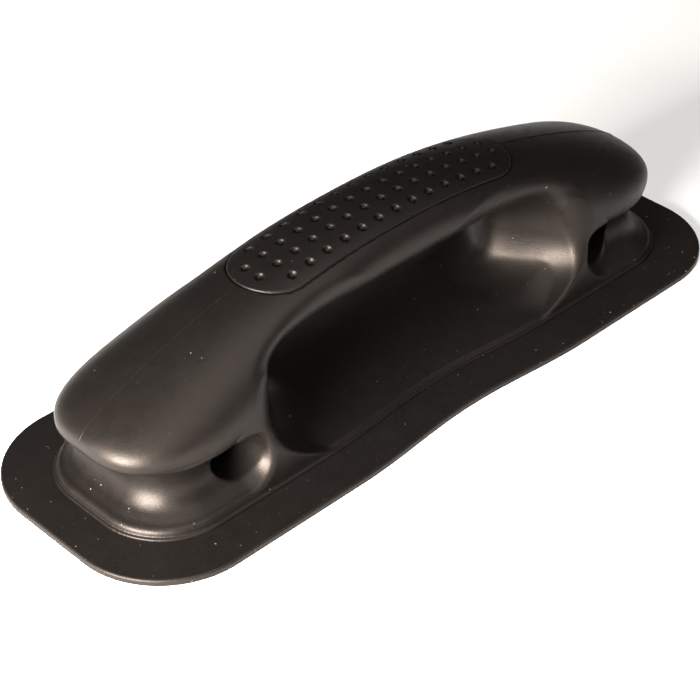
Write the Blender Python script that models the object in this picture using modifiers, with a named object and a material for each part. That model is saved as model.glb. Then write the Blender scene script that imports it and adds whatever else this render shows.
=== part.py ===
"""Moulded grab handle for an inflatable hull: an arched handle whose two overhanging noses have a rope
eye and a rope groove under them, standing on a wide flexible flange that is glued down. Lengths are in
metres, +Z is up, X runs along the handle, and the origin is the centre of the glued face."""

from math import cos, pi, sin

import bmesh
import bpy

MM = 0.001
GAP = 0.3 * MM  # left between neighbouring pieces

# Bonding flange: a long flexible plate with big corners and a slight waist, backed with fabric
FLANGE_HALF_LENGTH = 150 * MM
FLANGE_HALF_WIDTH = 52.5 * MM
FLANGE_CORNER = 35.5 * MM
FLANGE_TOP = 2.6 * MM
WAIST_DEPTH = 3.6 * MM
WAIST_HALF_LENGTH = 58 * MM
FABRIC_THICKNESS = 0.8 * MM
FABRIC_INSET = 3 * MM

# Plinth: the low crowned pad that the legs grow out of
PLINTH_HALF_LENGTH = 135 * MM
PLINTH_HALF_WIDTH = 36.5 * MM
PLINTH_CORNER = 27 * MM
PLINTH_RIM = 4 * MM
PLINTH_END_RIM = 6 * MM
PLINTH_CROWN = 4.7 * MM
BODY_BOTTOM = FLANGE_TOP + GAP

# Bar: the arched grip and the two noses, as sections along X
CREST_HEIGHT = 68.2 * MM
CREST_CURVATURE = 1.7  # per metre: the crest drops by this times x squared
CREST_STRAIGHT_FROM = 86.8 * MM
NOSE_TIP = 135.1 * MM
NOSE_ROUND_FROM = 74 * MM
NOSE_HALF_WIDTH = 32 * MM
NOSE_MIDDLE = 30.8 * MM
NOSE_BOTTOM = 23.4 * MM
NOSE_POWERS = (2, 4.4)  # superellipse powers above and below the widest line
GRIP_HALF_WIDTH = 21.2 * MM
GRIP_MIDDLE = 55 * MM
GRIP_BOTTOM = 44.5 * MM
GRIP_POWERS = (2.4, 2.2)
CLOSING_POWERS = (3.8, 2.8)  # along the nose and across it
SWELL_FROM = 12 * MM  # between these the grip's section swells to the nose's
SWELL_TO = 105 * MM
GRIP_REACH = 66 * MM  # the slim grip runs this far, into the legs

# Legs and the finger opening between them, which flares from its throat to a mouth on each side
NECK_PROFILE = ((-3 * MM, 35.2 * MM), (8 * MM, 34.6 * MM), (22.7 * MM, 32.8 * MM))  # height, half-width
LEG_PROFILE = ((22.7 * MM, 32.8 * MM), (28 * MM, 31.4 * MM), (34 * MM, 29.2 * MM))
NECK_HALF_LENGTH = 132.5 * MM
NECK_CORNER = 24.5 * MM
LEG_HALF_LENGTH = 100 * MM
LEG_CORNER = 20 * MM
OPENING_MIDDLE = 27 * MM
THROAT_REACH = (61 * MM, 18 * MM, 22 * MM)  # half-length, height above and depth below the middle
MOUTH_REACH = (77.5 * MM, 31 * MM, 29 * MM)
MOUTH_Y = 34 * MM
FLARE_POWER = 1.6
THROAT_POWERS = (3.8, 4.5)  # superellipse powers above and below the middle
MOUTH_POWERS = (4.0, 2.4)
OPENING_REACH = 45 * MM  # the opening's cutter ends this far out on each side

# Rope eye and the groove that runs from it round the neck of each nose
EYE_X = 91.5 * MM
EYE_Z = 19 * MM
EYE_RADIUS = 9.7 * MM
GROOVE_RADIUS = 11.5 * MM
GROOVE_Z = 17.5 * MM
GROOVE_OFFSET = 0.5 * MM  # outside the plinth's outline
GROOVE_END_X = 92.3 * MM

# Grip pad: a dimpled inlay in the crest
PAD_HALF_LENGTH = 64.3 * MM
PAD_HALF_WIDTH = 16 * MM
PAD_THICKNESS = 3 * MM
DIMPLE_PITCH_X = 8.23 * MM
DIMPLE_PITCH_Y = 7.3 * MM
DIMPLE_RADIUS = 1.6 * MM
DIMPLE_TIP = 0.2 * MM
DIMPLE_DEPTH = 0.9 * MM
DIMPLE_SIDES = 8
DIMPLE_COLUMNS = {-1.5: 13, -0.5: 15, 0.5: 15, 1.5: 13}  # row, in pitches from the centre: dimples

# Steel core inside the grip and legs, standing on two anchor plates
CORE_RADIUS = 4 * MM
CORE_LEG_X = 72 * MM
CORE_CREST_Z = 55.5 * MM
CORE_SHOULDER_Z = 50.5 * MM
CORE_BEND = 12 * MM
PLATE_X = 80 * MM
PLATE_HALF_LENGTH = 15 * MM
PLATE_HALF_WIDTH = 15 * MM
PLATE_CORNER = 4 * MM
PLATE_THICKNESS = 2 * MM

# Mesh fineness
VOXEL = 1.1 * MM
SMOOTHING_STEPS = 8
BODY_TRIANGLES = 6400


# ---------------------------------------------------------------- helpers

def material(name, colour, roughness, metallic=0.0):
    made = bpy.data.materials.new(name)
    made.use_nodes = True
    shader = made.node_tree.nodes["Principled BSDF"]
    shader.inputs["Base Color"].default_value = (*colour, 1)
    shader.inputs["Roughness"].default_value = roughness
    shader.inputs["Metallic"].default_value = metallic
    return made


def collection(name):
    made = bpy.data.collections.new(name)
    bpy.context.scene.collection.children.link(made)
    return made


def add(name, data, group):
    made = bpy.data.objects.new(name, data)
    group.objects.link(made)
    return made


def as_mesh(source, weld=False):
    """Replaces an object by a plain mesh object of what it evaluates to; weld closes a curve's caps."""
    name = source.name
    group = source.users_collection[0]
    bpy.context.view_layer.update()
    graph = bpy.context.evaluated_depsgraph_get()
    mesh = bpy.data.meshes.new_from_object(source.evaluated_get(graph), depsgraph=graph)
    mesh.transform(source.matrix_world)
    bpy.data.objects.remove(source)
    if weld:
        shape = bmesh.new()
        shape.from_mesh(mesh)
        bmesh.ops.remove_doubles(shape, verts=shape.verts, dist=0.01 * MM)
        bmesh.ops.recalc_face_normals(shape, faces=shape.faces)
        shape.to_mesh(mesh)
        shape.free()
    return add(name, mesh, group)


def combine(target, others, operation):
    """Joins or cuts target with each of the other objects, which are then removed."""
    for other in others:
        modifier = target.modifiers.new("Boolean", "BOOLEAN")
        modifier.operation = operation
        modifier.object = other
    result = as_mesh(target)
    for other in others:
        bpy.data.objects.remove(other)
    return result


def joined(name, sources, group):
    """One object holding the shells of several, which are removed."""
    shape = bmesh.new()
    for source in sources:
        shape.from_mesh(source.data)
        bpy.data.objects.remove(source)
    mesh = bpy.data.meshes.new(name)
    shape.to_mesh(mesh)
    shape.free()
    return add(name, mesh, group)


def waist(x):
    """How far a long side is drawn in at x."""
    if abs(x) > WAIST_HALF_LENGTH:
        return 0.0
    return WAIST_DEPTH * (1 + cos(pi * x / WAIST_HALF_LENGTH)) / 2


def outline(half_length, half_width, corner, waisted=False, steps=10):
    """A closed outline: a rectangle with round corners, whose long sides may have a waist."""
    points = []
    for sign_x, sign_y, start in ((1, 1, 0), (-1, 1, pi / 2), (-1, -1, pi), (1, -1, 3 * pi / 2)):
        for i in range(steps + 1):
            angle = start + i * pi / 2 / steps
            points.append((sign_x * (half_length - corner) + corner * cos(angle),
                           sign_y * (half_width - corner) + corner * sin(angle)))
        if waisted and sign_x == sign_y:
            for i in range(1, 2 * steps):
                x = sign_x * WAIST_HALF_LENGTH * (1 - i / steps)
                points.append((x, sign_y * (half_width - waist(x))))
    return points


def plate(name, points, low, high, group):
    """A flat plate between two heights, from a 2D curve."""
    curve = bpy.data.curves.new(name, "CURVE")
    curve.dimensions = "2D"
    curve.fill_mode = "BOTH"
    curve.extrude = (high - low) / 2
    spline = curve.splines.new("POLY")
    spline.points.add(len(points) - 1)
    for point, (x, y) in zip(spline.points, points):
        point.co = (x, y, 0, 1)
    spline.use_cyclic_u = True
    made = add(name, curve, group)
    made.location.z = (low + high) / 2
    return as_mesh(made, weld=True)


def tube(name, points, radius, group, resolution=2):
    """A round rod along points."""
    curve = bpy.data.curves.new(name, "CURVE")
    curve.dimensions = "3D"
    curve.bevel_depth = radius
    curve.bevel_resolution = resolution
    curve.use_fill_caps = True
    spline = curve.splines.new("POLY")
    spline.points.add(len(points) - 1)
    for point, place in zip(spline.points, points):
        point.co = (*place, 1)
    return as_mesh(add(name, curve, group), weld=True)


def loft(name, rings, group):
    """A closed solid through rings of points, capped at both ends."""
    shape = bmesh.new()
    rows = [[shape.verts.new(point) for point in ring] for ring in rings]
    for row, following in zip(rows, rows[1:]):
        for i in range(len(row)):
            j = (i + 1) % len(row)
            shape.faces.new((row[i], row[j], following[j], following[i]))
    shape.faces.new(rows[0])
    shape.faces.new(rows[-1])
    bmesh.ops.triangulate(shape, faces=shape.faces)
    bmesh.ops.recalc_face_normals(shape, faces=shape.faces)
    mesh = bpy.data.meshes.new(name)
    shape.to_mesh(mesh)
    shape.free()
    return add(name, mesh, group)


def mix(a, b, t):
    return a + t * (b - a)


def smooth_step(value, low, high):
    t = min(max((value - low) / (high - low), 0), 1)
    return t * t * (3 - 2 * t)


def power_of(value, power):
    """The coordinate on a superellipse of a point whose cosine or sine is value."""
    return abs(value) ** (2 / power) * (1 if value >= 0 else -1)


# ---------------------------------------------------------------- the bar's form

def crest(x):
    """Height of the bar's top line: an arch that runs out into straight slopes."""
    x = abs(x)
    if x < CREST_STRAIGHT_FROM:
        return CREST_HEIGHT - CREST_CURVATURE * x * x
    slope = 2 * CREST_CURVATURE * CREST_STRAIGHT_FROM
    return CREST_HEIGHT - CREST_CURVATURE * CREST_STRAIGHT_FROM ** 2 - slope * (x - CREST_STRAIGHT_FROM)


def swell(x):
    """From 0, where the bar is the slim grip, to 1, where it is the nose."""
    return smooth_step(abs(x), SWELL_FROM, SWELL_TO)


def bar_section(x, t, shrink=0.0, count=36):
    """One ring of the bar at x, shrink below its surface, with t of the nose's section in it."""
    half_width = mix(GRIP_HALF_WIDTH, NOSE_HALF_WIDTH, t) - shrink
    middle = mix(GRIP_MIDDLE, NOSE_MIDDLE, t)
    above = crest(x) - middle - shrink
    below = middle - mix(GRIP_BOTTOM, NOSE_BOTTOM, t) - shrink
    run = max(0.0, (abs(x) - NOSE_ROUND_FROM) / (NOSE_TIP - NOSE_ROUND_FROM))
    closing = (1 - run ** CLOSING_POWERS[0]) ** (1 / CLOSING_POWERS[1])
    ring = []
    for i in range(count):
        angle = 2 * pi * i / count
        upper = sin(angle) > 0
        power = mix(GRIP_POWERS[0 if upper else 1], NOSE_POWERS[0 if upper else 1], t)
        height = above if upper else below
        ring.append((x, half_width * closing * power_of(cos(angle), power),
                     middle + height * closing * power_of(sin(angle), power)))
    return ring


def bar(name, group, shrink=0.0, steps=40):
    """The bar, or a smaller copy of it that lies shrink under its surface."""
    places = [-0.999 * NOSE_TIP * cos(pi * i / steps) for i in range(steps + 1)]
    return loft(name, [bar_section(x, swell(x), shrink) for x in places], group)


def slim_grip(name, group, steps=12):
    """The grip with its own slim section from leg to leg, which gives the hand's side of the arch."""
    places = [GRIP_REACH * (2 * i / steps - 1) for i in range(steps + 1)]
    return loft(name, [bar_section(x, 0.0) for x in places], group)


def plinth_section(x, count=12):
    """One ring of the plinth: flat below, crowned above, with a higher rim at its ends."""
    into_corner = max(0.0, abs(x) - (PLINTH_HALF_LENGTH - PLINTH_CORNER))
    corner = PLINTH_CORNER - (PLINTH_CORNER ** 2 - into_corner ** 2) ** 0.5
    half_width = PLINTH_HALF_WIDTH - waist(x) - corner
    towards_end = smooth_step(abs(x), 60 * MM, 95 * MM)
    rim = mix(PLINTH_RIM, PLINTH_END_RIM, towards_end)
    crown = PLINTH_CROWN * (1 - towards_end)
    ring = [(x, -half_width, -BODY_BOTTOM), (x, half_width, -BODY_BOTTOM)]
    for i in range(count + 1):
        across = 1 - 2 * i / count
        ring.append((x, half_width * across, rim + crown * (1 - across * across)))
    return ring


def plinth(name, group, steps=36):
    rings = [plinth_section(-0.999 * PLINTH_HALF_LENGTH * cos(pi * i / steps)) for i in range(steps + 1)]
    return loft(name, rings, group)


def leaning_block(name, profile, half_length, corner, group):
    """A block with a rounded plan that runs through both legs and leans in as it rises."""
    rings = [[(x, y, height) for x, y in outline(half_length, half_width, corner)]
             for height, half_width in profile]
    return loft(name, rings, group)


def opening(name, group, steps=18, count=40):
    """The finger opening: narrow in the middle of the handle, flaring towards both sides."""
    rings = []
    for i in range(steps + 1):
        y = OPENING_REACH * (2 * i / steps - 1)
        flare = 1 - max(0, 1 - abs(y) / MOUTH_Y) ** FLARE_POWER
        half_length = mix(THROAT_REACH[0], MOUTH_REACH[0], flare)
        above = mix(THROAT_REACH[1], MOUTH_REACH[1], min(1, abs(y) / GRIP_HALF_WIDTH))
        below = mix(THROAT_REACH[2], MOUTH_REACH[2], flare)
        ring = []
        for j in range(count):
            angle = 2 * pi * j / count
            upper = sin(angle) > 0
            height = above if upper else below
            power = mix(THROAT_POWERS[0 if upper else 1], MOUTH_POWERS[0 if upper else 1], flare)
            ring.append((half_length * power_of(cos(angle), power), y,
                         OPENING_MIDDLE + height * power_of(sin(angle), power)))
        rings.append(ring)
    return loft(name, rings, group)


def groove_path(side, steps=10):
    """Centre line of the rope groove: from one mouth of the eye round the nose's neck to the other."""
    half_length = PLINTH_HALF_LENGTH + GROOVE_OFFSET
    half_width = PLINTH_HALF_WIDTH + GROOVE_OFFSET
    corner = PLINTH_CORNER + GROOVE_OFFSET
    path = [(side * GROOVE_END_X, -half_width, GROOVE_Z)]
    for sign, start in ((-1, -pi / 2), (1, 0)):
        for i in range(steps + 1):
            angle = start + i * pi / 2 / steps
            path.append((side * (half_length - corner + corner * cos(angle)),
                         sign * (half_width - corner) + corner * sin(angle), GROOVE_Z))
    path.append((side * GROOVE_END_X, half_width, GROOVE_Z))
    return path


def ball(name, centre, radius, group):
    shape = bmesh.new()
    bmesh.ops.create_icosphere(shape, subdivisions=3, radius=radius)
    bmesh.ops.translate(shape, verts=shape.verts, vec=centre)
    mesh = bpy.data.meshes.new(name)
    shape.to_mesh(mesh)
    shape.free()
    return add(name, mesh, group)


def core_path(foot_z, steps=6):
    """Centre line of the core: up one leg from foot_z, along the grip and down the other leg."""
    half = [(CORE_LEG_X, foot_z), (CORE_LEG_X, CORE_SHOULDER_Z - CORE_BEND)]
    reach = CORE_LEG_X - CORE_BEND
    for i in range(1, steps + 1):
        angle = i * pi / 2 / steps
        half.append((reach + CORE_BEND * cos(angle), CORE_SHOULDER_Z - CORE_BEND + CORE_BEND * sin(angle)))
    for i in range(1, steps):
        along = 1 - i / steps
        half.append((reach * along, mix(CORE_CREST_Z, CORE_SHOULDER_Z, along * along)))
    left = [(-x, z) for x, z in half]
    return [(x, 0.0, z) for x, z in left + [(0.0, CORE_CREST_Z)] + half[::-1]]


# ---------------------------------------------------------------- pieces

def pad_block(name, grow, group):
    """An upright block with the pad's plan, grown by grow, that passes out through the crest."""
    half_width = PAD_HALF_WIDTH + grow
    points = outline(PAD_HALF_LENGTH + grow, half_width, half_width - 0.1 * MM, steps=8)
    return plate(name, points, GRIP_MIDDLE, CREST_HEIGHT + 10 * MM, group)


def dimple_places():
    """Where the pad's dimples lie: aligned rows, the outer ones two dimples shorter."""
    for row, columns in DIMPLE_COLUMNS.items():
        y = row * DIMPLE_PITCH_Y
        for column in range(columns):
            x = (column - (columns - 1) / 2) * DIMPLE_PITCH_X
            drop = (crest(0) - GRIP_MIDDLE) * (1 - (1 - abs(y / GRIP_HALF_WIDTH) ** GRIP_POWERS[0])
                                               ** (1 / GRIP_POWERS[0]))
            yield x, y, crest(x) - drop


def dimples(name, group):
    """Cutter for all the pad's dimples: upright cones, point down, half sunk in the pad."""
    shape = bmesh.new()
    for x, y, z in dimple_places():
        cone = bmesh.ops.create_cone(shape, cap_ends=True, segments=DIMPLE_SIDES, radius1=DIMPLE_TIP,
                                     radius2=DIMPLE_RADIUS * 2, depth=DIMPLE_DEPTH * 2)
        bmesh.ops.translate(shape, verts=cone["verts"], vec=(x, y, z))
    mesh = bpy.data.meshes.new(name)
    shape.to_mesh(mesh)
    shape.free()
    return add(name, mesh, group)


def eye(name, side, group):
    """Cutter for the rope eye through one neck."""
    reach = 2 * FLANGE_HALF_WIDTH
    ends = [(side * EYE_X, -reach, EYE_Z), (side * EYE_X, reach, EYE_Z)]
    return tube(name, ends, EYE_RADIUS, group, resolution=5)


def make_body(parts, cutters):
    """The outer moulding: bar, legs and plinth, fused and blended by remeshing their joined shells."""
    arch = combine(bar("arch", cutters), [opening("opening_in_arch", cutters)], "DIFFERENCE")
    legs = leaning_block("legs", LEG_PROFILE, LEG_HALF_LENGTH, LEG_CORNER, cutters)
    legs = combine(legs, [opening("opening_in_legs", cutters)], "DIFFERENCE")
    neck_cuts = [opening("opening_in_neck", cutters)]
    for side in (-1, 1):
        path = groove_path(side)
        neck_cuts.append(eye(f"eye_{side}", side, cutters))
        neck_cuts.append(tube(f"groove_{side}", path, GROOVE_RADIUS, cutters, resolution=4))
        neck_cuts.append(ball(f"groove_end_{side}_front", path[0], GROOVE_RADIUS, cutters))
        neck_cuts.append(ball(f"groove_end_{side}_back", path[-1], GROOVE_RADIUS, cutters))
    neck = leaning_block("neck", NECK_PROFILE, NECK_HALF_LENGTH, NECK_CORNER, cutters)
    neck = combine(neck, neck_cuts, "DIFFERENCE")
    shells = [arch, slim_grip("slim_grip", cutters), legs, neck, plinth("plinth", cutters)]
    body = joined("handle_body", shells, parts)
    remesh = body.modifiers.new("Remesh", "REMESH")
    remesh.mode = "VOXEL"
    remesh.voxel_size = VOXEL
    blend = body.modifiers.new("Smooth", "SMOOTH")
    blend.factor = 0.5
    blend.iterations = SMOOTHING_STEPS
    body = as_mesh(body)
    thin = body.modifiers.new("Decimate", "DECIMATE")
    thin.ratio = BODY_TRIANGLES / sum(len(face.vertices) - 2 for face in body.data.polygons)
    body = as_mesh(body)
    around = outline(FLANGE_HALF_LENGTH, FLANGE_HALF_WIDTH, FLANGE_CORNER)
    under = plate("below", around, -CREST_HEIGHT, BODY_BOTTOM, cutters)
    return combine(body, [under], "DIFFERENCE")


def make_pad(parts, cutters):
    """The grip pad: the bar's own surface within the pad's plan, hollowed below and dimpled above."""
    pad = combine(pad_block("grip_pad", 0, parts), [bar("pad_top", cutters)], "INTERSECT")
    return combine(pad, [bar("pad_seat", cutters, shrink=PAD_THICKNESS), dimples("dimples", cutters)],
                   "DIFFERENCE")


def pad_pocket(cutters):
    """Cutter for the pocket that the pad lies in."""
    block = pad_block("pad_pocket", GAP, cutters)
    return combine(block, [bar("pocket_floor", cutters, shrink=PAD_THICKNESS + GAP)], "DIFFERENCE")


def make_flange(parts, cutters):
    """The flexible flange, with a shallow recess below for its fabric."""
    points = outline(FLANGE_HALF_LENGTH, FLANGE_HALF_WIDTH, FLANGE_CORNER, waisted=True)
    flange = plate("bonding_flange", points, 0, FLANGE_TOP, parts)
    inset = FABRIC_INSET - GAP
    seat = outline(FLANGE_HALF_LENGTH - inset, FLANGE_HALF_WIDTH - inset, FLANGE_CORNER - inset, waisted=True)
    recess = plate("fabric_recess", seat, -FLANGE_TOP, FABRIC_THICKNESS + GAP, cutters)
    return combine(flange, [recess], "DIFFERENCE")


def make_fabric(parts):
    points = outline(FLANGE_HALF_LENGTH - FABRIC_INSET, FLANGE_HALF_WIDTH - FABRIC_INSET,
                     FLANGE_CORNER - FABRIC_INSET, waisted=True)
    return plate("base_fabric", points, 0, FABRIC_THICKNESS, parts)


def make_core(name, radius, foot_z, group):
    return tube(name, core_path(foot_z), radius, group, resolution=2)


def make_plate(name, side, grow, low, group):
    """An anchor plate under one leg, or the pocket for it when grown."""
    corner = PLATE_CORNER + grow
    points = outline(PLATE_HALF_LENGTH + grow, PLATE_HALF_WIDTH + grow, corner, steps=4)
    points = [(x + side * PLATE_X, y) for x, y in points]
    return plate(name, points, low, BODY_BOTTOM + PLATE_THICKNESS + grow, group)


def main():
    for old in list(bpy.data.objects):
        bpy.data.objects.remove(old)
    parts = collection("grab_handle")
    cutters = collection("cutters")
    body = make_body(parts, cutters)
    cuts = [pad_pocket(cutters), make_core("core_cavity", CORE_RADIUS + GAP, 0.0, cutters)]
    foot_z = BODY_BOTTOM + PLATE_THICKNESS + GAP
    core = make_core("core_rod", CORE_RADIUS, foot_z, parts)
    plates = []
    for side, word in ((-1, "left"), (1, "right")):
        cuts.append(make_plate(f"plate_pocket_{word}", side, GAP, 0.0, cutters))
        plates.append(make_plate(f"anchor_plate_{word}", side, 0.0, BODY_BOTTOM, parts))
    body = combine(body, cuts, "DIFFERENCE")
    pad = make_pad(parts, cutters)
    flange = make_flange(parts, cutters)
    fabric = make_fabric(parts)
    black = (0.035, 0.031, 0.029)
    zinc = (0.55, 0.55, 0.56)
    finishes = ((body, black, 0.55, 0), (pad, (0.03, 0.027, 0.026), 0.6, 0), (flange, (0.034, 0.03, 0.028), 0.6, 0),
                (fabric, (0.05, 0.05, 0.052), 0.9, 0), (core, zinc, 0.4, 1), (plates[0], zinc, 0.4, 1),
                (plates[1], zinc, 0.4, 1))
    for piece, colour, roughness, metallic in finishes:
        piece.data.materials.append(material(f"{piece.name}_finish", colour, roughness, metallic))
        piece.data.shade_smooth()
        piece.data.set_sharp_from_angle(angle=pi / 5)


main()
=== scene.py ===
"""A moulded grab handle for inflatable hulls: an arched grip with a dimpled pad, overhanging noses with a
rope eye and a rope groove under each, and a wide flexible flange. Shape sizes are in millimetres in the
row's frame and become metres when a mesh is made."""

from math import cos, pi, radians, sin

import bmesh
import bpy
import numpy as np
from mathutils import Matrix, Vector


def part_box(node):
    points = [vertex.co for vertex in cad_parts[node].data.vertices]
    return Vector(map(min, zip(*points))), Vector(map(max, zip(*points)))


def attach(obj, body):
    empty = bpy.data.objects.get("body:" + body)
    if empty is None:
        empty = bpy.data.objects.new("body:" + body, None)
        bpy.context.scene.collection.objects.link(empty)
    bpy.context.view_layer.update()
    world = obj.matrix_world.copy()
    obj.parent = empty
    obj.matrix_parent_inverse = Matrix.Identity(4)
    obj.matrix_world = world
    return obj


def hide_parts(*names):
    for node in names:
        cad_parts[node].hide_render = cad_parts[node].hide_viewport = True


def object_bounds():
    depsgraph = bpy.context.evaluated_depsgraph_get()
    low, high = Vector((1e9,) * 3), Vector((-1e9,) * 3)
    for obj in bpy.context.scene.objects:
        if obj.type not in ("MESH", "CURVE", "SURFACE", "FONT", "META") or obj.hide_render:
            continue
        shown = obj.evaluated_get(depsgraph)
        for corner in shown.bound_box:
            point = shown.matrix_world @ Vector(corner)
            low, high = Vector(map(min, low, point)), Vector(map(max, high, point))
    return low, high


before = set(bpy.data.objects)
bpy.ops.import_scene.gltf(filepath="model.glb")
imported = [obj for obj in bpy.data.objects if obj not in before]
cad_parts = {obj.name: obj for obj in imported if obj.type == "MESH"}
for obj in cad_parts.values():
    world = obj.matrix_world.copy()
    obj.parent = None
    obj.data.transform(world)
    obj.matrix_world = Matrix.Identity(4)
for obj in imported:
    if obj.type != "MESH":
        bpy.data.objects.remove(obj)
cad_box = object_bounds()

import openvdb
from mathutils import Matrix, Vector

MM = 0.001


def cad_size(node):
    """Lowest and highest corner of a CAD node in millimetres."""
    low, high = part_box(node)
    return [value / MM for value in low], [value / MM for value in high]


# Flange
FLANGE_LOW, FLANGE_HIGH = cad_size("bonding_flange")
FLANGE_TOP = FLANGE_HIGH[2]
FLANGE_CORNER = 35.5
FLANGE_EDGE_RADIUS = 0.9
FLANGE_EASE = 0.25  # the small chamfer under the flange's rim
WAIST_DEPTH = 3.6
WAIST_HALF_LENGTH = 58

# Plinth
BODY_BOTTOM = FLANGE_TOP - 0.3  # the moulding runs into the flange, because the two are moulded in one
PLINTH_HALF_LENGTH = 135
PLINTH_HALF_WIDTH = 36.4
PLINTH_CORNER = 27
PLINTH_LEAN = 0.5  # how far the plinth's side leans in for each unit of height
PLINTH_EDGE = 0.5
PLINTH_END_TOP = 9.5
PLINTH_END_RUN = (58, 84)  # where the top rises from the floor to the ends
FOOT_HEIGHT = 0.9
FOOT_STEP = 1.1
FOOT_FILLET = 0.4
FLOOR_EDGE = 4.0
FLOOR_CROWN = 4.7

# Bar
CREST_HEIGHT = cad_size("grip_pad")[1][2]
CREST_CURVATURE = 0.0017
CREST_STRAIGHT_FROM = 86.8
NOSE_TIP = 135.1
NOSE_ROUND_FROM = 74
NOSE_SECTION = (32, 30.8, 23.4)  # half-width, height of the widest line, bottom
GRIP_SECTION = (21.2, 55, 44.5)
NOSE_POWERS = (2.0, 4.4)  # superellipse powers above and below the widest line
GRIP_POWERS = (2.42, 2.2)
CLOSING_POWERS = (3.8, 2.8)  # superellipse powers of the nose's end, along and across
SWELL = (12, 105)  # where the grip's section turns into the nose's

# Legs
LEG_FOOT_HALF_WIDTH = 35.4
LEG_INSET = 1  # how far inside the plinth's outline a leg's outline lies
LEG_LEAN = 0.0052
LEG_TOP = (42, 27)  # at the opening, and inside the nose
LEG_TOP_RUN = (76, 96)
NECK_FILLET = (5, 0.8)  # between bar and leg at the opening, and between nose and neck
NECK_FILLET_RUN = (80, 96)

# Finger opening
OPENING_MIDDLE = 27
THROAT_REACH = (61, 18, 42)  # half-length, and heights above and below the middle
MOUTH_REACH = (77.5, 31, 29)
MOUTH_Y = 34
THROAT_POWERS = (3.0, 2.0)
MOUTH_POWERS = (3.4, 2.4)
FLARE_POWER = 1.6
RIDGE = 0.2  # how blunt the ridge is that the two flares leave on each leg, as a share of MOUTH_Y
GRIP_FILLET = 8  # between the grip's underside and the legs
RIM_RADIUS = (1.2, 9)  # of the opening's rim, low and high on a leg
RIM_HEIGHTS = (8, 36)
RIM_RUN = (14, 48)  # where along the grip the rim's rounding begins
FLOOR_FILLET = (9, 0.5)  # between floor and legs inside the opening, and outside it
FLOOR_FILLET_RUN = (68, 80)
FLOOR_FILLET_ACROSS = (20, 34)

# Rope groove and rope eye
GROOVE_RADIUS = 11.5
GROOVE_Z = 17.5
GROOVE_OFFSET = 0.6
GROOVE_END_X = 92.3
LIP_Z = 26.5  # top of groove and eye, inside the nose
LIP_FILLET = 1.5
RIM_EDGE = 1.8  # how rounded the plinth's raised rim is
EYE_X = 91.5
EYE_Z = 19
EYE_RADIUS = 9.7
EYE_FILLET = 0.8

# Grip pad and its dimples
PAD_HALF_LENGTH = 64.3
PAD_HALF_WIDTH = 16
PAD_THICKNESS = 2.4
PAD_SEAM = 0.2
PAD_RAISE = 0.3
PAD_EDGE = 0.4
POCKET_LOW = 50  # the pad's pocket lies wholly above this height
PAD_LOW = 55  # the pad lies wholly above this height
POCKET_EDGE = 0.25
DIMPLE_PITCH = (8.23, 7.3)
DIMPLE_RADIUS = 1.7
DIMPLE_DEPTH = 1.25
DIMPLE_EDGE = 0.2
DIMPLE_COLUMNS = {0.5: 15, 1.5: 13}  # dimples in the row at each multiple of the pitch, mirrored beyond y = 0

# Parting lines, where the two halves of the mould met
BEAD_RADIUS = 0.2
FLOOR_LINE_END = 56
SKIRT_LINE = (137, 149)
NOSE_LINE_POINTS = 70
NOSE_LINE_CROWDING = 1.7  # how much closer the points get toward the tip
NOSE_LINE_ENDS = (0.6, 0.05)  # gaps to the pad and to the tip

# Materials
SKIN_COLOUR = (0.0032, 0.0027, 0.0024)
PAD_COLOUR = (0.0028, 0.0024, 0.0022)
SKIRT_COLOUR = (0.0036, 0.0031, 0.0028)
CLOTH_COLOUR = (0.05, 0.05, 0.052)
STEEL_COLOUR = (0.55, 0.55, 0.56)
DUST_COLOUR = (0.42, 0.36, 0.3, 1)
SHEEN_COLOUR = (1, 0.88, 0.8, 1)
SHEEN_LEVEL = 0.2
KEY_COLOUR = (1, 0.93, 0.87)
OVERHEAD_COLOUR = (1, 0.985, 0.97)
SURROUND_COLOUR = (1, 0.985, 0.965, 1)

# Lights: place, target, size and power of each, in metres and watts
KEY_LIGHT = ((-0.6, -0.13, 0.13), (-0.13, -0.01, 0.03), (0.34, 0.3), 42)
OVERHEAD_LIGHT = ((-0.1, -0.7, 1.45), (0.1, 0.1, 0), (1.6, 1.6), 27)
SURROUND_STRENGTH = 0.09

# Floor
FLOOR_REACH = 3.0  # metres
FLOOR_COLOURS = ((0.9, 0.9, 0.895, 1), (0.94, 0.94, 0.935, 1))

# Drawing: moulding and pad are drawn for x and y at or above zero, and mirrored
BODY_CELL = (0.5, 0.75)
PAD_CELL = (0.3, 0.5)
FAR = 25.0  # fields are cut off this far from a surface
KEEN = 0.01  # the radius of an edge that isn't rounded
MARGIN = 3  # grid cells left round a shape
ARC_STEPS = 24
WAIST_STEPS = 30

# Camera
CAMERA_PLACE = (-0.42394, -0.43270, 0.45171)  # metres
CAMERA_RIGHT = (0.71909899, -0.69482209, -0.0109039)
CAMERA_UP = (0.42191608, 0.42408227, 0.80133704)
CAMERA_LENS = 104.37


# ---------------------------------------------------------------- distance-like fields, negative inside

def mix(a, b, t):
    return a + t * (b - a)


def smooth_step(value, low, high):
    t = np.clip((value - low) / (high - low), 0, 1)
    return t * t * (3 - 2 * t)


def round_union(a, b, radius):
    """Joins two fields with a concave fillet of that radius."""
    inside = np.hypot(np.maximum(radius - a, 0), np.maximum(radius - b, 0))
    return np.maximum(radius, np.minimum(a, b)) - inside


def round_cut(a, b, radius):
    """Takes b away from a, and rounds the edge that this leaves."""
    return -round_union(-a, b, radius)


def rounded_rectangle(x, y, half_length, half_width, corner):
    """Signed distance in plan from a rectangle with round corners."""
    qx = np.abs(x) - half_length + corner
    qy = np.abs(y) - half_width + corner
    return np.hypot(np.maximum(qx, 0), np.maximum(qy, 0)) + np.minimum(np.maximum(qx, qy), 0) - corner


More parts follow.
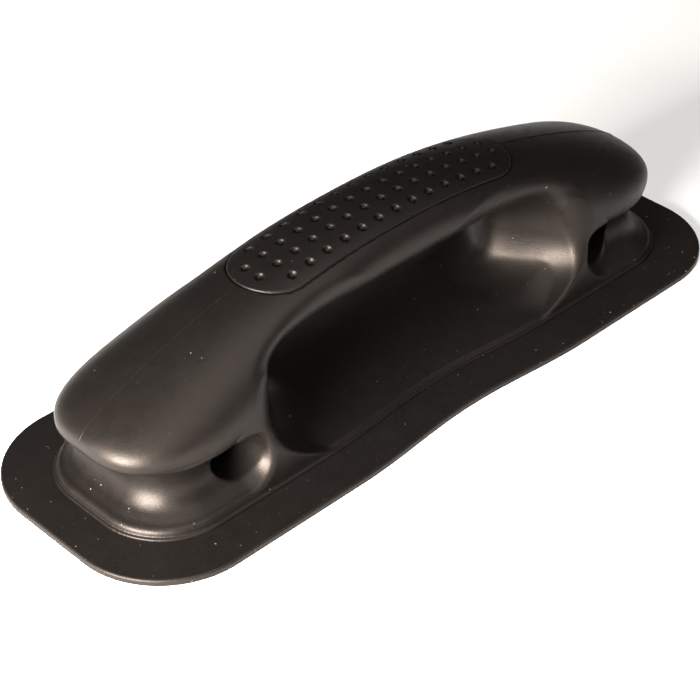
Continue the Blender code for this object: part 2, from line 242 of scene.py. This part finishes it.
def waist(x):
    """How far a long side is drawn in at x."""
    wave = WAIST_DEPTH * (1 + np.cos(pi * x / WAIST_HALF_LENGTH)) / 2
    return np.where(np.abs(x) < WAIST_HALF_LENGTH, wave, 0)


def to_distance(field, x):
    """Divides a field on the grid x by its own steepness, so that near its surface it measures distance."""
    slopes = np.gradient(field, x[1, 0, 0] - x[0, 0, 0])
    steepness = np.sqrt(sum(slope * slope for slope in slopes))
    return np.clip(field / np.maximum(steepness, 1e-6), -FAR, FAR)


def crest(x):
    """Height of the bar's top line: an arch that runs out into straight slopes."""
    beyond = np.maximum(np.abs(x) - CREST_STRAIGHT_FROM, 0)
    arch = np.minimum(np.abs(x), CREST_STRAIGHT_FROM)
    return CREST_HEIGHT - CREST_CURVATURE * (arch * arch + 2 * CREST_STRAIGHT_FROM * beyond)


def bar_section(x, t):
    """Half-width, middle, and heights above and below it of the bar at x, with t of the nose in it."""
    half_width, middle, bottom = (mix(a, b, t) for a, b in zip(GRIP_SECTION, NOSE_SECTION))
    return half_width, middle, crest(x) - middle, middle - bottom


def bar_field(x, y, z, t):
    """The bar: a superellipse section run along the crest and closed at the nose."""
    half_width, middle, above, below = bar_section(x, t)
    upper = z > middle
    power = np.where(upper, mix(GRIP_POWERS[0], NOSE_POWERS[0], t), mix(GRIP_POWERS[1], NOSE_POWERS[1], t))
    height = np.where(upper, above, below)
    section = (np.abs(y / half_width) ** power + np.abs((z - middle) / height) ** power) ** (1 / power)
    run = np.maximum(np.abs(x) - NOSE_ROUND_FROM, 0) / (NOSE_TIP - NOSE_ROUND_FROM)
    closed = section ** CLOSING_POWERS[1] + run ** CLOSING_POWERS[0]
    return to_distance(closed ** (1 / CLOSING_POWERS[1]) - 1, x)


def grip_field(x, y, z):
    """The grip's section run along x without an end, and without a top."""
    half_width, middle, above, below = bar_section(x, 0.0)
    down = np.maximum(middle - z, 0) / below
    section = (np.abs(y / half_width) ** GRIP_POWERS[1] + down ** GRIP_POWERS[1]) ** (1 / GRIP_POWERS[1])
    return to_distance(section - 1, x)


def opening_field(x, y, z):
    """The finger opening, which flares from its throat to a mouth on each side."""
    flare = np.minimum(1, (np.hypot(y / MOUTH_Y, RIDGE) - RIDGE) / (np.hypot(1, RIDGE) - RIDGE))
    flare = 1 - (1 - flare) ** FLARE_POWER
    half_length = mix(THROAT_REACH[0], MOUTH_REACH[0], flare)
    above = mix(THROAT_REACH[1], MOUTH_REACH[1], np.minimum(1, np.abs(y) / GRIP_SECTION[0]))
    below = mix(THROAT_REACH[2], MOUTH_REACH[2], flare)
    upper = z > OPENING_MIDDLE
    height = np.where(upper, above, below)
    powers = [mix(throat, mouth, flare) for throat, mouth in zip(THROAT_POWERS, MOUTH_POWERS)]
    power = np.where(upper, *powers)
    sum_of_powers = np.abs(x / half_length) ** power + np.abs((z - OPENING_MIDDLE) / height) ** power
    return to_distance(sum_of_powers ** (1 / power) - 1, x)


def rope_field(x, y, z):
    """The rope groove about the plinth's outline, the ball that ends it, and the eye through the neck.
    They stop at LIP_Z, which lies inside the nose."""
    half_length = PLINTH_HALF_LENGTH + GROOVE_OFFSET
    half_width = PLINTH_HALF_WIDTH + GROOVE_OFFSET
    around = rounded_rectangle(x, y, half_length, half_width, PLINTH_CORNER + GROOVE_OFFSET)
    ball = np.hypot(x - GROOVE_END_X, y - half_width)
    away = np.where(x > GROOVE_END_X, np.abs(around), ball)
    groove = np.hypot(away, z - GROOVE_Z) - GROOVE_RADIUS
    eye = np.hypot(x - EYE_X, z - EYE_Z) - EYE_RADIUS
    return round_cut(round_union(groove, eye, EYE_FILLET), LIP_Z - z, LIP_FILLET)


def plinth_field(x, y, z):
    """The low pad under the handle: a crowned floor, higher ends, and a step round the foot."""
    side = rounded_rectangle(x, y + waist(x), PLINTH_HALF_LENGTH, PLINTH_HALF_WIDTH, PLINTH_CORNER)
    foot = round_cut(side, FLANGE_TOP + FOOT_HEIGHT - z, PLINTH_EDGE)
    side = (side + FOOT_STEP + PLINTH_LEAN * (z - FLANGE_TOP)) / np.hypot(1, PLINTH_LEAN)
    across = y / (PLINTH_HALF_WIDTH - waist(x))
    floor = FLOOR_EDGE + FLOOR_CROWN * (1 - across * across)
    top = mix(floor, PLINTH_END_TOP, smooth_step(x, *PLINTH_END_RUN))
    return round_union(foot, round_cut(side, top - z, PLINTH_EDGE), FOOT_FILLET)


def leg_field(x, y, z):
    """The two legs and the necks behind them: a solid block that narrows upward, before anything is cut."""
    half_width = LEG_FOOT_HALF_WIDTH - LEG_LEAN * z * z
    widened = y * LEG_FOOT_HALF_WIDTH / half_width
    side = rounded_rectangle(x, widened, PLINTH_HALF_LENGTH - LEG_INSET, LEG_FOOT_HALF_WIDTH,
                             PLINTH_CORNER - LEG_INSET)
    return np.maximum(side, z - mix(*LEG_TOP, smooth_step(x, *LEG_TOP_RUN)))


def pad_plan(x, y, grow=0.0):
    """The pad's outline in plan, with round ends."""
    return rounded_rectangle(x, y, PAD_HALF_LENGTH + grow, PAD_HALF_WIDTH + grow, PAD_HALF_WIDTH + grow)


def moulding_field(x, y, z):
    """The whole outer moulding."""
    rope = rope_field(x, y, z)
    plinth = plinth_field(x, y, z)
    bar = bar_field(x, y, z, smooth_step(x, *SWELL))
    lower = np.minimum(leg_field(x, y, z), np.where(x > PLINTH_END_RUN[1], plinth, FAR))
    lower = round_cut(lower, rope, RIM_EDGE)
    body = round_union(lower, bar, mix(*NECK_FILLET, smooth_step(x, *NECK_FILLET_RUN)))
    hole = round_cut(opening_field(x, y, z), grip_field(x, y, z), GRIP_FILLET)
    rim = mix(*RIM_RADIUS, smooth_step(z, *RIM_HEIGHTS)) * smooth_step(x, *RIM_RUN) + KEEN
    body = round_cut(body, hole, rim)
    outside = np.maximum(smooth_step(x, *FLOOR_FILLET_RUN), smooth_step(y, *FLOOR_FILLET_ACROSS))
    body = round_union(body, round_cut(plinth, rope, RIM_EDGE), mix(*FLOOR_FILLET, outside))
    deep = np.maximum(-bar - PAD_THICKNESS - PAD_SEAM, POCKET_LOW - z)
    body = round_cut(body, np.maximum(pad_plan(x, y, PAD_SEAM), deep), POCKET_EDGE)
    return np.maximum(body, BODY_BOTTOM - z)


def pad_field(x, y, z):
    """The grip pad: a skin that follows the crest, with a rounded edge and cupped dimples."""
    bar = bar_field(x, y, z, smooth_step(x, *SWELL))
    skin = round_cut(pad_plan(x, y), PAD_RAISE - bar, PAD_EDGE)
    skin = np.maximum(skin, -bar - PAD_THICKNESS)
    cup_radius = (DIMPLE_RADIUS ** 2 + DIMPLE_DEPTH ** 2) / (2 * DIMPLE_DEPTH)
    for row, count in DIMPLE_COLUMNS.items():
        for column in range(count // 2 + 1):
            place = (column * DIMPLE_PITCH[0], row * DIMPLE_PITCH[1])
            middle = above_pad(*place, cup_radius - DIMPLE_DEPTH)
            cup = np.sqrt(sum((axis - at) ** 2 for axis, at in zip((x, y, z), middle))) - cup_radius
            skin = round_cut(skin, cup, DIMPLE_EDGE)
    return skin


def top_of_bar(x, y):
    """Height of the bar's upper surface."""
    t = smooth_step(abs(x), *SWELL)
    half_width, middle, above, below = bar_section(x, t)
    power = mix(GRIP_POWERS[0], NOSE_POWERS[0], t)
    run = max(abs(x) - NOSE_ROUND_FROM, 0) / (NOSE_TIP - NOSE_ROUND_FROM)
    closing = (1 - run ** CLOSING_POWERS[0]) ** (1 / CLOSING_POWERS[1])
    return middle + above * (closing ** power - abs(y / half_width) ** power) ** (1 / power)


def above_pad(x, y, lift):
    """The point that lies that far out from the pad's top at x, y, along the surface's normal."""
    step = 0.05
    slope_x = (top_of_bar(x + step, y) - top_of_bar(x - step, y)) / (2 * step)
    slope_y = (top_of_bar(x, y + step) - top_of_bar(x, y - step)) / (2 * step)
    normal = np.array((-slope_x, -slope_y, 1)) / np.sqrt(1 + slope_x ** 2 + slope_y ** 2)
    return np.array((x, y, top_of_bar(x, y))) + normal * (lift + PAD_RAISE)


def draw_surface(name, field_of, low, high, cell):
    """Meshes the zero surface of a field from low up to a far corner, mirrored to all four quarters."""
    counts = [int(high[0] / cell) + MARGIN + 1, int(high[1] / cell) + MARGIN + 1,
              int((high[2] - low) / cell) + 2 * MARGIN + 1]
    start = (0.5 * cell, 0.5 * cell, low - MARGIN * cell)
    axes = [start[i] + cell * np.arange(counts[i]) for i in range(3)]
    x, y, z = np.meshgrid(*axes, indexing="ij")
    quarter = field_of(x, y, z)
    half = np.concatenate([quarter[::-1], quarter], axis=0)
    whole = np.concatenate([half[:, ::-1], half], axis=1).astype(np.float32)
    grid = openvdb.FloatGrid(FAR)
    grid.copyFromArray(np.ascontiguousarray(whole))
    points, quads = grid.convertToQuads(isovalue=0.0)
    corner = np.array([axes[0][0] - counts[0] * cell, axes[1][0] - counts[1] * cell, axes[2][0]])
    mesh = bpy.data.meshes.new(name)
    mesh.from_pydata(((points * cell + corner) * MM).tolist(), [], quads.tolist())
    mesh.validate()
    mesh.shade_smooth()
    return mesh


def add(name, data):
    made = bpy.data.objects.new(name, data)
    bpy.context.scene.collection.objects.link(made)
    return made


def piece(name, mesh, node=None):
    """An object that rides on the handle's one body, and stands for a CAD node if one is named."""
    made = add(name, mesh)
    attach(made, "root")
    if node:
        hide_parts(node)
    return made


def outline(half_length, half_width, corner):
    """The flange's outline, with its waist, as a closed run of points."""
    points = []
    for sign_x, sign_y, start in ((1, 1, 0), (-1, 1, pi / 2), (-1, -1, pi), (1, -1, 3 * pi / 2)):
        for i in range(ARC_STEPS + 1):
            angle = start + i * pi / (2 * ARC_STEPS)
            points.append((sign_x * (half_length - corner) + corner * cos(angle),
                           sign_y * (half_width - corner) + corner * sin(angle)))
        if sign_x == sign_y:
            for i in range(1, 2 * WAIST_STEPS):
                x = sign_x * WAIST_HALF_LENGTH * (1 - i / WAIST_STEPS)
                points.append((x, sign_y * (half_width - float(waist(x)))))
    return points


def flange_mesh():
    """A flat skirt whose rim is rounded over at the top and eased at the bottom."""
    made = bmesh.new()
    low = FLANGE_LOW[2]
    steps = 6
    profile = [(FLANGE_EASE, low), (0, low + FLANGE_EASE)]
    for i in range(steps + 1):
        angle = i * pi / (2 * steps)
        inset = FLANGE_EDGE_RADIUS * (1 - cos(angle))
        profile.append((inset, FLANGE_TOP - FLANGE_EDGE_RADIUS * (1 - sin(angle))))
    loops = []
    for inset, z in profile:
        points = outline(FLANGE_HIGH[0] - inset, FLANGE_HIGH[1] - inset, FLANGE_CORNER - inset)
        loops.append([made.verts.new((x * MM, y * MM, z * MM)) for x, y in points])
    for lower, upper in zip(loops, loops[1:]):
        for i in range(len(lower)):
            j = (i + 1) % len(lower)
            made.faces.new((lower[i], lower[j], upper[j], upper[i]))
    made.faces.new(loops[-1])
    made.faces.new(loops[0][::-1])
    mesh = bpy.data.meshes.new("flange")
    made.to_mesh(mesh)
    made.free()
    mesh.shade_smooth()
    mesh.set_sharp_from_angle(angle=radians(40))
    return mesh


def bead(name, points):
    """A thin line of flash where the two halves of the mould met: a small tube that tapers at both ends."""
    made = bmesh.new()
    rings = []
    sides = 6
    last = len(points) - 1
    for i, point in enumerate(points):
        ahead = Vector(points[min(i + 1, last)]) - Vector(points[max(i - 1, 0)])
        out = Vector((-ahead.z, 0, ahead.x)).normalized()
        taper = BEAD_RADIUS * min(1, 0.2 + min(i, last - i) / 4)
        ring = []
        for k in range(sides):
            angle = 2 * pi * k / sides
            offset = out * sin(angle) * taper + Vector((0, cos(angle) * taper, 0))
            ring.append(made.verts.new((Vector(point) + offset) * MM))
        rings.append(ring)
    for lower, upper in zip(rings, rings[1:]):
        for k in range(sides):
            following = (k + 1) % sides
            made.faces.new((lower[k], lower[following], upper[following], upper[k]))
    made.faces.new(rings[0][::-1])
    made.faces.new(rings[-1])
    bmesh.ops.recalc_face_normals(made, faces=made.faces)
    mesh = bpy.data.meshes.new(name)
    made.to_mesh(mesh)
    made.free()
    mesh.shade_smooth()
    return mesh


class Nodes:
    """A short way to write a material's nodes. All textures are read in the row frame, in millimetres."""

    def __init__(self, name):
        self.made = bpy.data.materials.new(name)
        self.made.use_nodes = True
        self.tree = self.made.node_tree
        self.tree.nodes.clear()
        self.output = self.tree.nodes.new("ShaderNodeOutputMaterial")
        self.surface = self.tree.nodes.new("ShaderNodeBsdfPrincipled")
        self.tree.links.new(self.surface.outputs[0], self.output.inputs["Surface"])
        place = self.tree.nodes.new("ShaderNodeTexCoord")
        scale = (1 / MM, 1 / MM, 1 / MM)
        self.place = self.math("MULTIPLY", place.outputs["Object"], scale, kind="ShaderNodeVectorMath")

    def put(self, node, key, value):
        """Sets a socket to a value, or links another node's output to it."""
        if hasattr(value, "links"):
            self.tree.links.new(value, node.inputs[key])
        else:
            node.inputs[key].default_value = value

    def math(self, operation, a, b=0.0, kind="ShaderNodeMath"):
        node = self.tree.nodes.new(kind)
        node.operation = operation
        self.put(node, 0, a)
        self.put(node, 1, b)
        return node.outputs[0]

    def noise(self, size, detail=2.0, roughness=0.5):
        """Cloudy noise whose features are about that many millimetres."""
        node = self.tree.nodes.new("ShaderNodeTexNoise")
        self.put(node, "Vector", self.place)
        self.put(node, "Scale", 1 / size)
        self.put(node, "Detail", detail)
        self.put(node, "Roughness", roughness)
        return node.outputs[0]

    def dots(self, size, radius, share):
        """White dots up to that radius, one in each of a share of the cells of that size."""
        node = self.tree.nodes.new("ShaderNodeTexVoronoi")
        self.put(node, "Vector", self.place)
        self.put(node, "Scale", 1 / size)
        pick = self.tree.nodes.new("ShaderNodeSeparateColor")
        self.put(pick, 0, node.outputs["Color"])
        chosen = self.math("LESS_THAN", pick.outputs[0], share)
        reach = self.math("MULTIPLY", pick.outputs[1], radius / size)
        inside = self.math("LESS_THAN", node.outputs["Distance"], reach)
        return self.math("MULTIPLY", chosen, inside)

    def ramp(self, value, low, high, to_low, to_high):
        """Takes the range from low to high to the range from to_low to to_high."""
        node = self.tree.nodes.new("ShaderNodeMapRange")
        for key, given in zip(range(5), (value, low, high, to_low, to_high)):
            self.put(node, key, given)
        return node.outputs[0]

    def blend(self, factor, a, b):
        node = self.tree.nodes.new("ShaderNodeMix")
        node.data_type = "RGBA"
        self.put(node, 0, factor)
        self.put(node, 6, a)
        self.put(node, 7, b)
        return node.outputs[2]

    def bump(self, height, distance, before=None):
        """Roughens the normal by a height of that many millimetres."""
        node = self.tree.nodes.new("ShaderNodeBump")
        self.put(node, "Height", height)
        self.put(node, "Distance", distance * MM)
        if before:
            self.put(node, "Normal", before)
        return node.outputs[0]


def shade(colour, factor):
    """A colour made lighter or darker by a factor."""
    return tuple(part * factor for part in colour) + (1.0,)


def moulded(name, colour, roughness, dust, grain=0.05):
    """Soft black moulded plastic: fine grain, cloudy sheen, rubbed patches and settled dust."""
    nodes = Nodes(name)
    cloud = nodes.noise(14, 3)
    fine = nodes.noise(0.55, 2, 0.6)
    rubbed = nodes.noise(5, 4, 0.65)
    base = nodes.blend(cloud, shade(colour, 0.72), shade(colour, 1.3))
    base = nodes.blend(nodes.ramp(fine, 0.35, 0.75, 0, 0.35), base, shade(colour, 2.0))
    specks = nodes.math("MAXIMUM", nodes.dots(3.2, 0.42, dust), nodes.dots(1.3, 0.24, dust * 0.5))
    patchy = nodes.math("MULTIPLY", specks, nodes.ramp(cloud, 0.4, 0.6, 0.15, 1))
    base = nodes.blend(nodes.math("MULTIPLY", patchy, 0.3), base, DUST_COLOUR)
    nodes.put(nodes.surface, "Base Color", base)
    wear = nodes.math("ADD", nodes.math("MULTIPLY", rubbed, 0.6), nodes.math("MULTIPLY", fine, 0.4))
    sheen = nodes.ramp(wear, 0.3, 0.7, roughness - 0.06, roughness + 0.08)
    nodes.put(nodes.surface, "Roughness", sheen)
    normal = nodes.bump(fine, grain)
    normal = nodes.bump(nodes.noise(2.2, 2), grain * 0.8, normal)
    nodes.put(nodes.surface, "Normal", normal)
    nodes.put(nodes.surface, "Specular IOR Level", SHEEN_LEVEL)
    nodes.put(nodes.surface, "Specular Tint", SHEEN_COLOUR)
    return nodes.made


def woven(name, colour):
    """Polyester backing cloth: crossed yarns about half a millimetre apart."""
    nodes = Nodes(name)
    waves = []
    for axis in ("X", "Y"):
        node = nodes.tree.nodes.new("ShaderNodeTexWave")
        node.bands_direction = axis
        nodes.put(node, "Vector", nodes.place)
        nodes.put(node, "Scale", 0.55)
        nodes.put(node, "Distortion", 0.4)
        waves.append(node.outputs[1])
    weave = nodes.math("MAXIMUM", *waves)
    base = nodes.blend(weave, shade(colour, 0.5), shade(colour, 1.4))
    base = nodes.blend(nodes.ramp(nodes.noise(9, 3), 0.4, 0.7, 0, 0.4), base, shade(colour, 0.8))
    nodes.put(nodes.surface, "Base Color", base)
    nodes.put(nodes.surface, "Roughness", nodes.ramp(weave, 0, 1, 0.95, 0.8))
    nodes.put(nodes.surface, "Normal", nodes.bump(weave, 0.12))
    return nodes.made


def plated(name, colour):
    """Zinc-plated steel: cloudy passivation and faint drawing marks."""
    nodes = Nodes(name)
    cloud = nodes.noise(6, 3)
    warm = (colour[0] * 1.1, colour[1] * 1.05, colour[2])
    base = nodes.blend(cloud, shade(colour, 0.8), shade(warm, 1.1))
    nodes.put(nodes.surface, "Base Color", base)
    nodes.put(nodes.surface, "Metallic", 1.0)
    nodes.put(nodes.surface, "Roughness", nodes.ramp(nodes.noise(1.2, 4), 0.3, 0.7, 0.28, 0.48))
    nodes.put(nodes.surface, "Normal", nodes.bump(nodes.noise(0.8, 3), 0.02))
    return nodes.made


def paint(made, material):
    """Gives an object one material, in its object slots if it has any."""
    for slot in made.material_slots:
        slot.link = "OBJECT"
        slot.material = material
    if not made.material_slots:
        made.data.materials.append(material)


def area_light(name, place, target, size, power, colour):
    """A rectangular light at a place, turned to a target, in metres and watts."""
    data = bpy.data.lights.new(name, "AREA")
    data.shape = "RECTANGLE"
    data.size, data.size_y = size
    data.energy = power
    data.color = colour
    made = add(name, data)
    made.location = place
    made.rotation_mode = "QUATERNION"
    made.rotation_quaternion = (Vector(target) - Vector(place)).to_track_quat("-Z", "Y")


def pale_floor():
    """A wide floor at the object's lowest point, and its faintly mottled white."""
    level = cad_box[0].z
    signs = ((-1, -1), (1, -1), (1, 1), (-1, 1))
    corners = [(sign_x * FLOOR_REACH, sign_y * FLOOR_REACH, level) for sign_x, sign_y in signs]
    mesh = bpy.data.meshes.new("floor")
    mesh.from_pydata(corners, [], [(0, 1, 2, 3)])
    floor = add("floor", mesh)
    nodes = Nodes("pale_floor")
    colour = nodes.blend(nodes.noise(160, 3), *FLOOR_COLOURS)
    nodes.put(nodes.surface, "Base Color", colour)
    nodes.put(nodes.surface, "Roughness", nodes.ramp(nodes.noise(4, 2), 0.3, 0.7, 0.85, 0.95))
    paint(floor, nodes.made)


def studio():
    """The floor, soft light from the left end and from above the near side, and a dim even surround."""
    pale_floor()
    world = bpy.data.worlds.new("surround")
    world.use_nodes = True
    background = world.node_tree.nodes["Background"]
    background.inputs["Color"].default_value = SURROUND_COLOUR
    background.inputs["Strength"].default_value = SURROUND_STRENGTH
    bpy.context.scene.world = world
    area_light("key", *KEY_LIGHT, KEY_COLOUR)
    area_light("overhead", *OVERHEAD_LIGHT, OVERHEAD_COLOUR)
    settings = bpy.context.scene.view_settings
    settings.view_transform = "Standard"
    settings.look = "None"
    settings.exposure = 0.0


def camera():
    """A long lens above and beyond the handle's left end, on the near side."""
    data = bpy.data.cameras.new("camera")
    data.lens = CAMERA_LENS
    data.sensor_width = 36
    data.clip_start = 0.01
    made = add("camera", data)
    right = Vector(CAMERA_RIGHT)
    up = Vector(CAMERA_UP)
    columns = (*right, 0), (*up, 0), (*right.cross(up), 0), (*CAMERA_PLACE, 1)
    made.matrix_world = Matrix(columns).transposed()
    bpy.context.scene.camera = made


def nose_line(side):
    """The parting line along a nose's crest, from the pad to the tip."""
    start = PAD_HALF_LENGTH + NOSE_LINE_ENDS[0]
    line = []
    for i in range(NOSE_LINE_POINTS):
        left = 1 - i / (NOSE_LINE_POINTS - 1)
        x = start + (NOSE_TIP - start) * (1 - left ** NOSE_LINE_CROWDING)
        x = min(x, NOSE_TIP - NOSE_LINE_ENDS[1])
        line.append((side * x, 0, top_of_bar(x, 0)))
    return line


def parting_lines():
    """Flash on both noses, on the floor and on the skirt's left end."""
    floor_run = range(-FLOOR_LINE_END, FLOOR_LINE_END + 1, 2)
    lines = {
        "parting_line_left": nose_line(-1),
        "parting_line_right": nose_line(1),
        "parting_line_floor": [(x, 0, FLOOR_EDGE + FLOOR_CROWN) for x in floor_run],
        "parting_line_skirt": [(-x, 0, FLANGE_TOP) for x in range(*SKIRT_LINE)],
    }
    made = []
    for name, line in lines.items():
        made.append(piece(name, bead(name, line)))
    return made


def main():
    detail = 0
    far_corner = (NOSE_TIP, PLINTH_HALF_WIDTH, CREST_HEIGHT)
    body_mesh = draw_surface("moulding", moulding_field, BODY_BOTTOM, far_corner, BODY_CELL[detail])
    body = piece("moulding", body_mesh, "handle_body")
    far_corner = (PAD_HALF_LENGTH, PAD_HALF_WIDTH, CREST_HEIGHT + 1)
    pad_mesh = draw_surface("dimpled_pad", pad_field, PAD_LOW, far_corner, PAD_CELL[detail])
    pad = piece("dimpled_pad", pad_mesh, "grip_pad")
    flange = piece("skirt", flange_mesh(), "bonding_flange")
    beads = parting_lines()

    plastic = moulded("moulded_pvc", SKIN_COLOUR, 0.41, 0.07)
    pad_plastic = moulded("pad_pvc", PAD_COLOUR, 0.44, 0.05)
    skirt_plastic = moulded("skirt_pvc", SKIRT_COLOUR, 0.46, 0.3, 0.07)
    for made in (body, *beads):
        paint(made, plastic)
    paint(pad, pad_plastic)
    paint(flange, skirt_plastic)
    steel = plated("zinc_plate", STEEL_COLOUR)
    cloth = woven("backing_cloth", CLOTH_COLOUR)
    looks = {
        "handle_body": ("moulding", plastic),
        "grip_pad": ("grip_pad", pad_plastic),
        "bonding_flange": ("flange", skirt_plastic),
        "base_fabric": ("fabric", cloth),
        "core_rod": ("steel", steel),
        "anchor_plate_left": ("steel", steel),
        "anchor_plate_right": ("steel", steel),
    }
    for name, (slot, material) in looks.items():
        paint(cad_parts[name], material)
    studio()
    camera()


main()
